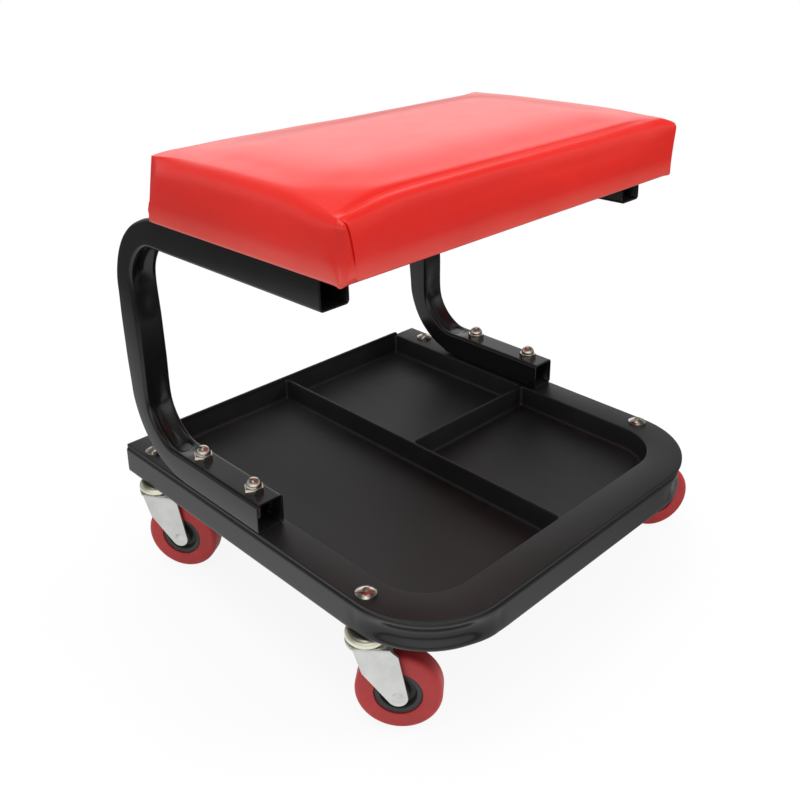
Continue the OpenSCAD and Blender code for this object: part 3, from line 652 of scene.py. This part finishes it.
cushion = {
    "halfX": 185.5, "halfY": 110.5, "high": 50.0, "bow": 2.0, "overhang": 27.0, "sharp": 60,
    # Border under the board: how far in it ends, its edge's height and foot, and two lines on it
    "tuck": 14.0, "lip": 1.1, "lipFoot": 0.1, "lipRound": 0.8, "border": (9.0, 6.0),
    # Height on the side panels, and how far they lie inside the outline there
    "side": ((-0.7, 4.9), (-0.85, 3.6), (-0.7, 2.5), (-0.1, 1.8), (1.3, 1.3), (3.0, 1.1), (5.5, 0.78),
             (9.0, 0.35), (14.0, -0.2), (20.0, -0.65), (26.0, -0.8), (31.0, -0.6), (35.0, -0.15),
             (38.2, 0.5), (41.0, 1.4), (43.2, 2.45), (45.1, 3.7), (46.7, 5.2), (48.0, 7.0), (48.95, 9.0),
             (49.55, 11.1), (49.9, 13.4)),
    # How far each corner is drawn in, by height, then its lift, its radius and whether it bulges round
    "corners": {
        (-1, 1): (((0, 2.4), (50, 7.6)), 0.6, 1.2, 0),
        (-1, -1): (((0, 0.0), (30, 0.8), (43, 1.8), (47, 3.6), (50, 6.2)), -3.6, 1.2, 7.0),
        (1, -1): (((0, 0.0), (36, -2.0), (42, -2.2), (45, -0.9), (47, 1.2), (49, 5.0), (50, 8.0)),
                  -1.8, 2.6, 2.0),
        (1, 1): (((0, 1.0), (43, 2.5), (47, 6.0), (50, 11.0)), -0.6, 3.0, 4.0),
    },
    "cornerReach": ((0, 4.2), (12.5, 4.2), (16, 9), (50, 19)), "liftReach": 30.0,
    "bulge": {"from": 2.0, "high": 44.0, "power": 0.7},
    "crown": {"high": 3.0, "endLoss": 0.5, "endPower": 5, "sidePower": 2.4},
    "puff": {"high": 1.6, "steepX": 2.5, "steepY": 1.6},
    # How steeply the sides and the top's rim join, and the dip between them with its reach
    "joinPower": 4, "dip": 0.1, "dipReach": 2,
}
# Distances of the columns from an end, close by a fold's edge, and their pitch between the ends
columns = {
    "fine": ((0, 0.15, 0.3, 0.45, 0.6, 0.75, 0.9, 1.0, 1.1, 1.18, 1.24, 1.27, 1.29, 1.3, 1.34, 1.42, 1.54, 1.7,
              1.95, 2.3, 2.9, 3.7, 4.7, 6.1, 7.9, 10.2, 13, 16.5, 20.5), 4.0),
    "coarse": ((0, 3, 7, 12), 6.0),
}
# How far the top's edges lie above a flat top, by share of their length, and how far in that reaches
edges = {
    "front": (((0, -2.4), (0.2, -2.4), (0.35, -2.8), (0.55, -3.8), (0.75, -4.2), (0.9, -2.6),
               (1, -0.8)), 50.0),
    "back": (((0, -0.8), (0.07, 1.0), (0.18, 1.8), (0.35, 0.5), (0.55, -1.5), (0.75, -2.0), (0.92, -1.7),
              (1, 0.2)), 60.0),
    "left": (((0, -5.0), (0.3, -4.2), (0.7, -3.2), (1, -2.2)), 45.0),
    "right": (((0, -0.2), (0.3, -0.2), (0.5, -0.2), (0.75, 0.2), (1, 0.8)), 60.0),
}
# Groove behind the rolled front edge, deepest by the folded corner and gone near both ends
groove = {"at": 11.0, "wide": 3.4, "deep": 2.7, "least": 0.3, "fullTo": 25.0, "fade": 90.0,
          "leftFrom": 3.0, "leftRun": 16.0, "rightFrom": 10.0, "rightRun": 60.0}


# Places of the columns along a side of the cushion, from its middle
def stations(half, fine):
    near, pitch = columns["fine" if fine else "coarse"]
    length = 2 * half
    inside = length - 2 * near[-1]
    count = round(inside / pitch)
    between = [near[-1] + inside * i / count for i in range(1, count)]
    return [d - half for d in (*near, *between, *[length - d for d in reversed(near)])]


# Value of a table at t, from straight pieces or from soft steps
def tableAt(table, t, soft=False):
    for (t0, v0), (t1, v1) in zip(table, table[1:]):
        if t <= t1:
            share = max(0, (t - t0) / (t1 - t0))
            return mix(v0, v1, smooth(share) if soft else share)
    return table[-1][1]


def topHeight(x, y):
    c, crown, puff, g = cushion, cushion["crown"], cushion["puff"], groove
    sx, sy = min(1, abs(x) / c["halfX"]), min(1, abs(y) / c["halfY"])
    domed = crown["high"] * (1 - crown["endLoss"] * sx ** crown["endPower"]) * (1 - sy ** crown["sidePower"])
    near, far = y + c["halfY"], x + c["halfX"]
    alongX, alongY = far / 2 / c["halfX"], near / 2 / c["halfY"]
    lift = puff["high"] * smooth((1 - sx) * puff["steepX"]) * smooth((1 - sy) * puff["steepY"])
    for edge, along, inside in (("front", alongX, near), ("back", alongX, 2 * c["halfY"] - near),
                                ("left", alongY, far), ("right", alongY, 2 * c["halfX"] - far)):
        table, reach = edges[edge]
        lift += tableAt(table, along, True) * max(0, 1 - max(0, inside) / reach) ** 2
    deep = mix(g["least"], 1, math.exp(-max(0, far - g["fullTo"]) / g["fade"]))
    deep *= smooth((far - g["leftFrom"]) / g["leftRun"])
    deep *= smooth((c["halfX"] - x - g["rightFrom"]) / g["rightRun"])
    return domed + lift - g["deep"] * deep * math.exp(-((near - g["at"]) / g["wide"]) ** 2)


def onEdge(value, half):
    return abs(value) > half - tiny


# Where a point of the outline goes at one level: stepped in, hollowed between corners, corners drawn in
def outlinePoint(x, y, z, step, bow):
    c = cushion
    hx, hy = c["halfX"] - step, c["halfY"] - step
    px, py = x * hx / c["halfX"], y * hy / c["halfY"]
    sign = (1 if x > 0 else -1, 1 if y > 0 else -1)
    insets, lift, r, belly = c["corners"][sign]
    rise = min(1, max(0, z - c["bulge"]["from"]) / c["bulge"]["high"])
    r += belly * math.sin(math.pi * rise) ** c["bulge"]["power"]
    ax, ay = abs(px) - (hx - r), abs(py) - (hy - r)
    if ax > 0 and ay > 0:
        k = r / max(math.hypot(ax, ay), tiny)
        if k < 1:
            px, py = math.copysign(hx - r + ax * k, px), math.copysign(hy - r + ay * k, py)
    if onEdge(y, c["halfY"]):
        py -= math.copysign(bow * math.cos(math.pi / 2 * x / c["halfX"]), y)
    if onEdge(x, c["halfX"]):
        px -= math.copysign(bow * math.cos(math.pi / 2 * y / c["halfY"]), x)
    gap = (c["halfX"] - abs(x)) + (c["halfY"] - abs(y))
    near = math.exp(-(gap / tableAt(c["cornerReach"], z)) ** 2)
    draw = (tableAt(insets, z) - tableAt(c["side"], z)) * near
    if z <= 1 and step >= 8:  # the border turned in under the board keeps its corners
        draw = 0
    lift *= math.exp(-(gap / c["liftReach"]) ** 2) * smooth(z / c["high"])
    return px - sign[0] * draw, py - sign[1] * draw, lift


# Grid cushion: underside border, sides and top share one set of columns. A mark for each point says
# where it was on the flat outline, its height, which is endless on the top, and its step inwards
def cushionMesh(fine):
    c = cushion
    halfX, halfY, high, tuck = c["halfX"], c["halfY"], c["high"], c["tuck"]
    xs, ys = stations(halfX, fine), stations(halfY, fine)
    rim = ([(x, -halfY) for x in xs] + [(halfX, y) for y in ys[1:]]
           + [(x, halfY) for x in reversed(xs[:-1])] + [(-halfX, y) for y in reversed(ys[1:-1])])
    levels = [(tuck, c["lip"], 0), (tuck, c["lipFoot"], 0)]
    levels += [(step, 0, 0) for step in (tuck - c["lipRound"], *c["border"])]
    sides = c["side"] if fine else c["side"][::2]
    levels += [(step, z, c["bow"] * math.sin(math.pi * max(0, z) / high)) for z, step in sides]
    points, marks = [], []
    for step, z, bow in levels:
        for x, y in rim:
            slid = slideFold(x, y, z, step) if fine else (x, y)
            px, py, lift = outlinePoint(*slid, max(0, z), step, bow)
            rise = topHeight(px, py) * (max(0, z) / high) ** c["joinPower"] if z > c["lip"] else 0
            points.append([px, py, z + lift + rise])
            marks.append((x, y, z, step))
    count = len(rim)
    faces = skinFaces(len(levels), count)
    last = (len(levels) - 1) * count
    spot = {(round(x, 4), round(y, 4)): last + i for i, (x, y) in enumerate(rim)}
    for y in ys[1:-1]:
        for x in xs[1:-1]:
            spot[(round(x, 4), round(y, 4))] = len(points)
            inset = sides[-1][1] * max(abs(x) / halfX, abs(y) / halfY) ** c["joinPower"]
            px, py, lift = outlinePoint(x, y, high, inset, 0)
            dip = c["dip"] * math.exp(-min(halfX - abs(x), halfY - abs(y)) / c["dipReach"])
            points.append([px, py, high + topHeight(px, py) - dip + lift])
            marks.append((x, y, math.inf, 0))
    for y0, y1 in zip(ys, ys[1:]):
        for x0, x1 in zip(xs, xs[1:]):
            square = ((x0, y0), (x1, y0), (x1, y1), (x0, y1))
            faces.append([spot[(round(x, 4), round(y, 4))] for x, y in square])
    faces.append(list(range(count)))
    return points, faces, marks


# Folded corners: the flap's slanted edge goes from low to top, and its columns slide within reach
fold = {
    "foot": 0.05, "top": 49.0, "low": 12.4, "from": 1.3, "power": 0.36, "reach": 26.0, "fadeHigh": 3.0,
    # Height from which the slide is full. Below, it fades as the border goes in
    "slideHigh": 0.2, "slideFrom": 2.0, "slideRun": 10.0,
    # How far the flap stands out, at the back left corner last, the rounding of its edge and its rise
    "proud": (2.1, 0.5), "edge": 0.6, "rise": 3.0, "raised": 3.2, "raisedFrom": 1.0, "raisedRun": 5.5,
    "raisedHigh": 8.0,
    # The strip beside the flap's edge, as a narrow and a wide fall, and its share below
    "strip": ((2.2, 1.1), (0.8, 4.0)), "lowShare": 0.4, "lowHigh": 10.0, "lowRun": 8.0,
}


# Distance of the slanted edge of a corner's flap from that corner, at one height
def foldLine(z):
    return max(fold["from"], fold["low"] * max(0, 1 - max(0, z) / fold["top"]) ** fold["power"])


# The panel along x or y that a flap is folded over, if any, and how far in from the flap's corner
def foldSpot(x, y):
    c = cushion
    if onEdge(y, c["halfY"]) and x < 0:
        return "x", c["halfX"] + x
    if x > 0 and onEdge(x, c["halfX"]):
        return "y", c["halfY"] - abs(y)
    return None, math.inf


# Columns slide along their panel, so that one of them follows the flap's edge
def slideFold(x, y, z, step):
    way, near = foldSpot(x, y)
    if near > fold["reach"] or near == 0:
        return x, y
    line, first, reach = foldLine(z), fold["from"], fold["reach"]
    at = near * line / first if near < first else mix(line, reach, (near - first) / (reach - first))
    fade = 0 if z > fold["slideHigh"] else smooth((step - fold["slideFrom"]) / fold["slideRun"])
    change = (at - near) * (1 - fade)
    return (x + change, y) if way == "x" else (x, y - math.copysign(change, y))


# Shift of a point by the fold: the flap stands proud of its panel, and beside its edge the panel
# swells at the front and back, and sinks at the right end
def foldShift(x, y, z):
    way, near = foldSpot(x, y)
    first, reach = fold["from"], fold["reach"]
    shift = Vector()
    if near >= reach or not fold["foot"] < z < cushion["high"]:
        return shift
    line = foldLine(z)
    away = (near - first) * ((reach - line) / (reach - first) if near > first else line / first)
    if away < 0:
        beyond = max(0, away + fold["edge"]) / fold["edge"]
        rounded = math.sqrt(max(0, 1 - beyond ** 2))
        out = fold["proud"][way == "x" and y > 0] * rounded * smooth((line + away) / fold["rise"])
        if z < fold["raisedHigh"]:
            raised = smooth((line + away - fold["raisedFrom"]) / fold["raisedRun"])
            shift.z = fold["raised"] * raised * (1 - smooth(z / fold["raisedHigh"]))
    else:
        out = -sum(deep * math.exp(-(away / wide) ** 2) for deep, wide in fold["strip"])
        out *= mix(fold["lowShare"], 1, smooth((z - fold["lowHigh"]) / fold["lowRun"]))
    out *= 1 - smooth((z - fold["top"]) / fold["fadeHigh"] + 1)
    if way == "x":
        shift.y = math.copysign(out, y)
    else:
        shift.x = out
    return shift


cover = {
    "pressure": 4.0, "mass": 0.4, "stretch": 40, "shear": 20, "bend": 4, "quality": 6, "frames": 20,
    "heldBelow": 4.0, "mostMove": 1.8, "neighbours": 8, "nearest": 1.5,
    # Share of the blown shape: on the top from its edges and corners inwards, on the sides between corners
    "topEdge": (6, 60), "topCorner": (24, 80), "sideShare": 0.6, "sideHigh": 46, "sideCorner": (20, 50),
}


# Blows the coarse cover up over the foam and returns how far each point went
def inflate(points, faces, marks):
    mesh, build = openMesh("blown", points, faces)
    closeMesh(mesh, build)
    blown = bpy.data.objects.new("blown", mesh)
    bpy.context.scene.collection.objects.link(blown)
    held = blown.vertex_groups.new(name="held")
    held.add([i for i, (x, y, z, step) in enumerate(marks) if z < cover["heldBelow"]], 1.0, "REPLACE")
    cloth = blown.modifiers.new("cloth", "CLOTH")
    s = cloth.settings
    s.use_pressure, s.uniform_pressure_force = True, cover["pressure"]
    s.vertex_group_mass = "held"
    s.quality, s.mass = cover["quality"], cover["mass"]
    s.tension_stiffness = s.compression_stiffness = cover["stretch"]
    s.shear_stiffness, s.bending_stiffness = cover["shear"], cover["bend"]
    s.effector_weights.gravity = 0
    cloth.collision_settings.use_collision = False
    cloth.point_cache.frame_start, cloth.point_cache.frame_end = 1, cover["frames"]
    for step in range(1, cover["frames"] + 1):
        bpy.context.scene.frame_set(step)
        bpy.context.view_layer.update()
    after = blown.evaluated_get(bpy.context.evaluated_depsgraph_get()).data
    moved = [(v.co * 1000 - Vector(p)) for v, p in zip(after.vertices, points)]
    moved = [m * min(1, cover["mostMove"] / max(m.length, tiny)) for m in moved]
    bpy.context.scene.frame_set(1)
    bpy.data.objects.remove(blown)
    print("cover blown up, most", round(max(m.length for m in moved), 2), "mm")
    return moved


# Spreads the blown cover's movement: the function that it returns gives the push at any place
def blownPush():
    points, faces, marks = cushionMesh(False)
    moved = inflate(points, faces, marks)
    tree = kdtree.KDTree(len(moved))
    for i, p in enumerate(points):
        tree.insert(Vector(p), i)
    tree.balance()

    def pushAt(spot):
        total, push = 0.0, Vector()
        for _, i, distance in tree.find_n(spot, cover["neighbours"]):
            weight = 1 / (distance + cover["nearest"]) ** 2
            push += moved[i] * weight
            total += weight
        return push / total

    return pushAt


# How much of the blown shape a point takes
def blowShare(x, y, z):
    dx, dy = cushion["halfX"] - abs(x), cushion["halfY"] - abs(y)
    if z > cushion["high"]:
        (edge, edgeRun), (corner, cornerRun) = cover["topEdge"], cover["topCorner"]
        return smooth((min(dx, dy) - edge) / edgeRun) * smooth((dx + dy - corner) / cornerRun)
    corner, cornerRun = cover["sideCorner"]
    belly = math.sin(math.pi * max(0, min(1, z / cover["sideHigh"])))
    return cover["sideShare"] * belly * smooth((max(dx, dy) - corner) / cornerRun)


# Puckers of the border that is turned in under the board, between two steps inwards
ripple = {"deep": 0.25, "alongX": 0.11, "alongY": 0.17, "phase": 1, "from": 3, "full": 8, "to": 12,
          "high": 0.05}


def rippleHeight(x, y, z, step):
    if z > ripple["high"] or not ripple["from"] <= step < ripple["to"]:
        return 0
    waves = math.sin(ripple["alongX"] * x) * math.sin(ripple["alongY"] * y + ripple["phase"])
    return ripple["deep"] * waves * smooth(step / ripple["full"])


# From the cushion's own millimetres to its place on the tilted arms
def onArms(spot):
    tilt = math.radians(arm["tilt"])
    y, z = spot.y + cushion["halfY"] - cushion["overhang"], spot.z
    return (spot.x, arm["highFront"] + y * math.cos(tilt) + z * math.sin(tilt),
            arm["seatZ"] - y * math.sin(tilt) + z * math.cos(tilt))


def cushionPiece():
    pushAt = blownPush()
    points, faces, marks = cushionMesh(True)
    placed = []
    for p, (x, y, z, step) in zip(points, marks):
        spot = Vector(p)
        if pushAt:
            spot += pushAt(spot) * blowShare(x, y, z)
        spot += foldShift(x, y, z)
        spot.z += rippleHeight(x, y, z, step)
        placed.append(onArms(spot))
    piece = makePiece("cushionCover", placed, faces, "seat_vinyl", "chassis", cushion["sharp"])
    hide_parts("seat_cover", "seat_foam")


cushionPiece()
print("cushion upholstered")


studio = {
    "camera": (-0.54463, -0.53077, 0.55403), "turn": -44.742, "down": 20.830, "roll": -0.337,
    "lens": 44.51, "sensor": 36, "shiftX": -0.0029, "shiftY": -0.15075, "clip": (0.01, 50),
    "worldLight": 0.62, "paper": 0.8, "paperWhite": 0.88, "paperSeen": 0.9, "paperFade": (0.5, 0.95),
    # What reflections see. The sky's tones go by the angle above the horizon
    "sky": ((-4, 0.0), (3, 1.05), (16, 1.1), (24, 1.0), (29, 0.58), (38, 0.42), (50, 0.25), (64, 0.25),
            (76, 1.3)),
    "horizon": (-0.09, 0.05), "towardsCamera": (-0.707, -0.707), "toTheRight": (0.707, -0.707),
    "cameraSide": 1.0,
    # Sides of the sky that change from one tone to another past an angle, over a span of its sine
    "darkSide": {"angle": 18.0, "span": (-0.08, 0.22), "tones": (0.3, 1.0)},
    "leftSide": {"angle": 62.0, "span": (0.0, 0.34), "tones": (1.0, 0.4)},
    # The floor's tone: its middle, what it gains towards the camera and loses to the right, and far off
    "floor": {"middle": 0.47, "ahead": 0.36, "right": 0.2, "far": 0.18},
    # Name, place, aim, width, height and power
    "softboxes": (
        ("overheadSoftbox", (-0.2, 0.3, 2.2), (0, 0, 0.2), 1.8, 1.8, 30),
        ("rightSoftbox", (1.5, -1.5, 1.5), (0, 0, 0.25), 1.1, 0.8, 26),
        ("leftSoftbox", (-2.0, -0.2, 1.0), (0, 0, 0.2), 0.9, 1.2, 5),
    ),
}


def cameraRig():
    s = studio
    turn, down, roll = (math.radians(s[k]) for k in ("turn", "down", "roll"))
    ahead = Vector((-math.sin(turn) * math.cos(down), math.cos(turn) * math.cos(down), -math.sin(down)))
    right = ahead.cross(Vector((0, 0, 1))).normalized()
    up = right.cross(ahead)
    right, up = right * math.cos(roll) + up * math.sin(roll), up * math.cos(roll) - right * math.sin(roll)
    data = bpy.data.cameras.new("photoCamera")
    data.lens, data.sensor_width = s["lens"], s["sensor"]
    data.shift_x, data.shift_y = s["shiftX"], s["shiftY"]
    data.clip_start, data.clip_end = s["clip"]
    camera = bpy.data.objects.new("photoCamera", data)
    bpy.context.scene.collection.objects.link(camera)
    matrix = camera.matrix_world.copy()
    for row in range(3):
        matrix[row][0], matrix[row][1], matrix[row][2] = right[row], up[row], -ahead[row]
        matrix[row][3] = s["camera"][row]
    camera.matrix_world = matrix
    bpy.context.scene.camera = camera


def softLamp(name, place, aim, wide, high, power):
    data = bpy.data.lights.new(name, "AREA")
    data.shape, data.size, data.size_y, data.energy = "RECTANGLE", wide, high, power
    lamp = bpy.data.objects.new(name, data)
    lamp.location = place
    lamp.rotation_euler = (Vector(aim) - Vector(place)).to_track_quat("-Z", "Y").to_euler()
    lamp.visible_glossy = False
    bpy.context.scene.collection.objects.link(lamp)


# Nodes of the world and the floor
class Room(Graph):
    def __init__(self, tree):
        super().__init__(tree)
        tree.nodes.clear()

    def ray(self, kind):
        return self.node("LightPath", out=kind)

    # 1 for the rays that see the room, and 0 for those that light it
    def seen(self):
        return self.ray("Is Camera Ray").most(self.ray("Is Glossy Ray")).most(self.ray("Is Transmission Ray"))

    # White for the camera, and the given tone for reflections
    def shown(self, tone):
        return self.toneOf(self.ray("Is Camera Ray"), tone, 1.0)

    def level(self, vector):
        flat = self.node("VectorMath", {"operation": "MULTIPLY"}, {0: vector, 1: (1, 1, 0)})
        return self.node("VectorMath", {"operation": "NORMALIZE"}, {0: flat})

    # How far a level direction goes along another
    def along(self, level, way):
        return self.node("VectorMath", {"operation": "DOT_PRODUCT"}, {0: level, 1: (*way, 0)}, "Value")

    # Goes from the first tone to the second while the wire crosses a span
    def crossing(self, wire, span, tones, curve="SMOOTHSTEP"):
        return self.node("MapRange", {"interpolation_type": curve}, dict(enumerate((wire, *span, *tones))))

    # Brightness of the floor where a ray meets it, from its level direction
    def floorTone(self, level, far):
        floor = studio["floor"]
        towards = self.along(level, studio["towardsCamera"]).most(0)
        across = self.along(level, studio["toTheRight"])
        return (towards * floor["ahead"] + floor["middle"] - across * floor["right"]) * far

    def sideTone(self, level, side):
        turn = math.radians(side["angle"])
        across = self.along(level, (-math.sin(turn), math.cos(turn)))
        return self.crossing(across, side["span"], side["tones"])

    # Ends in a mix of two shaders
    def finish(self, kind, share, first, second):
        self.node(kind, None, {0: self.node("MixShader", None, {0: share, 1: first, 2: second})})


def whiteWorld():
    s = studio
    world = bpy.data.worlds.new("whiteStudio")
    bpy.context.scene.world = world
    world.use_nodes = True
    room = Room(world.node_tree)
    way = room.node("TexCoord", out="Generated")
    level = room.level(way)
    height = room.node("SeparateXYZ", None, {0: way}, "Z")
    stops = [(math.sin(math.radians(angle)), tone) for angle, tone in s["sky"]]
    sky = 0.0
    for (low, first), (high, last) in zip(stops, stops[1:]):
        sky = sky + room.crossing(height, (low, high), (0.0, last - first), "LINEAR")
    sides = room.sideTone(level, s["darkSide"]) * room.sideTone(level, s["leftSide"])
    above = sky * sides.most(room.along(level, s["towardsCamera"]) * s["cameraSide"])
    below = room.floorTone(level, s["floor"]["far"])
    tone = room.toneOf(room.crossing(height, s["horizon"], (0.0, 1.0)), below, above)
    light = room.node("Background", None, {"Color": (1, 1, 1, 1), "Strength": s["worldLight"]})
    shown = room.node("Background", None, {"Color": room.shown(tone), "Strength": 1.0})
    room.finish("OutputWorld", room.seen(), light, shown)


def whitePaper():
    s = studio
    mesh = bpy.data.meshes.new("studioFloor")
    square = [(x * s["paper"], y * s["paper"], 0) for x, y in ((-1, -1), (1, -1), (1, 1), (-1, 1))]
    mesh.from_pydata(square, [], [(0, 1, 2, 3)])
    floor = bpy.data.objects.new("studioFloor", mesh)
    bpy.context.scene.collection.objects.link(floor)
    paper = bpy.data.materials.new("whitePaper")
    paper.use_nodes = True
    room = Room(paper.node_tree)
    spot = room.node("TexCoord", out="Object")
    away = room.node("VectorMath", {"operation": "LENGTH"}, {0: spot}, "Value")
    far = room.crossing(away, s["paperFade"], (1.0, s["floor"]["far"]), "LINEAR")
    tone = room.shown(room.floorTone(room.level(spot), far))
    glow = room.node("Emission", None, {"Color": tone, "Strength": 1.0})
    matt = room.node("BsdfDiffuse", None, {"Color": (*[s["paperWhite"]] * 3, 1)})
    share = room.toneOf(room.ray("Is Camera Ray"), room.seen(), s["paperSeen"])
    room.finish("OutputMaterial", share, matt, glow)
    mesh.materials.append(paper)


cameraRig()
whiteWorld()
whitePaper()
for softbox in studio["softboxes"]:
    softLamp(*softbox)
bpy.context.scene.view_settings.view_transform = "Standard"
print("studio lit")
